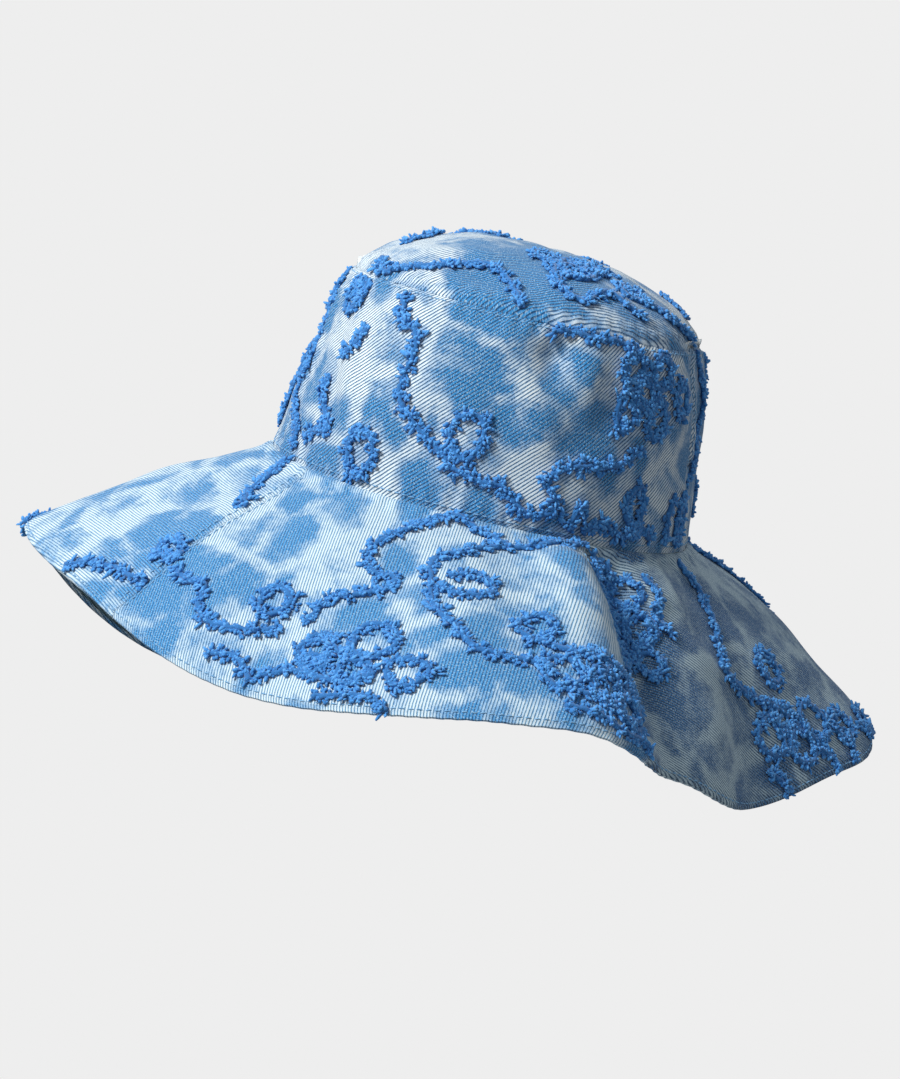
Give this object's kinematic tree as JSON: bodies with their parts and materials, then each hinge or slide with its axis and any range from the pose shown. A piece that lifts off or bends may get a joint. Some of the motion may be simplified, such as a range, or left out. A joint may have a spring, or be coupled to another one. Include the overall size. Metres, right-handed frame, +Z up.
{
  "type": "wide-brimmed bucket hat",
  "caption": "Soft wide-brimmed bucket hat of washed blue denim with tufted scroll embroidery, a domed oval crown, a wavy drooping brim, a lining and a sweatband.",
  "frame": {"origin": "centre of the head opening, in the plane where the crown meets the brim", "axes": "+Z up the crown's axis, -Y to the wearer's front, +X to the wearer's left"},
  "size_m": [0.3638, 0.3708, 0.2186],
  "materials": {
    "washed_denim": "indigo denim twill, cloud bleached",
    "under_denim": "plain dark teal-blue denim twill",
    "lining_poplin": "plain cotton poplin",
    "interlining": "stiff woven cotton interlining",
    "band_twill": "cotton twill sweatband",
    "woven_tab": "blank woven tab",
    "sewing_thread": "polyester sewing thread",
    "tufted_yarn": "cornflower-blue tufted cotton yarn"
  },
  "bodies": {
    "root": {"base_topstitch": "sewing_thread", "brim_interlining_back": "interlining", "brim_interlining_front": "interlining", "brim_interlining_left": "interlining", "brim_interlining_right": "interlining", "brim_seam_topstitch": "sewing_thread", "brim_top_back": "washed_denim", "brim_top_back_embroidery": "tufted_yarn", "brim_top_front": "washed_denim", "brim_top_front_embroidery": "tufted_yarn", "brim_top_left": "washed_denim", "brim_top_left_embroidery": "tufted_yarn", "brim_top_right": "washed_denim", "brim_top_right_embroidery": "tufted_yarn", "brim_under_back": "under_denim", "brim_under_front": "under_denim", "brim_under_left": "under_denim", "brim_under_right": "under_denim", "crown_tip": "washed_denim", "crown_tip_embroidery": "tufted_yarn", "crown_tip_lining": "lining_poplin", "hem_topstitch": "sewing_thread", "side_crown_back": "washed_denim", "side_crown_back_embroidery": "tufted_yarn", "side_crown_front": "washed_denim", "side_crown_front_embroidery": "tufted_yarn", "side_lining_back": "lining_poplin", "side_lining_front": "lining_poplin", "side_seam_topstitch": "sewing_thread", "size_tab": "woven_tab", "sweatband": "band_twill", "tip_topstitch": "sewing_thread"}
  },
  "joints": []
}
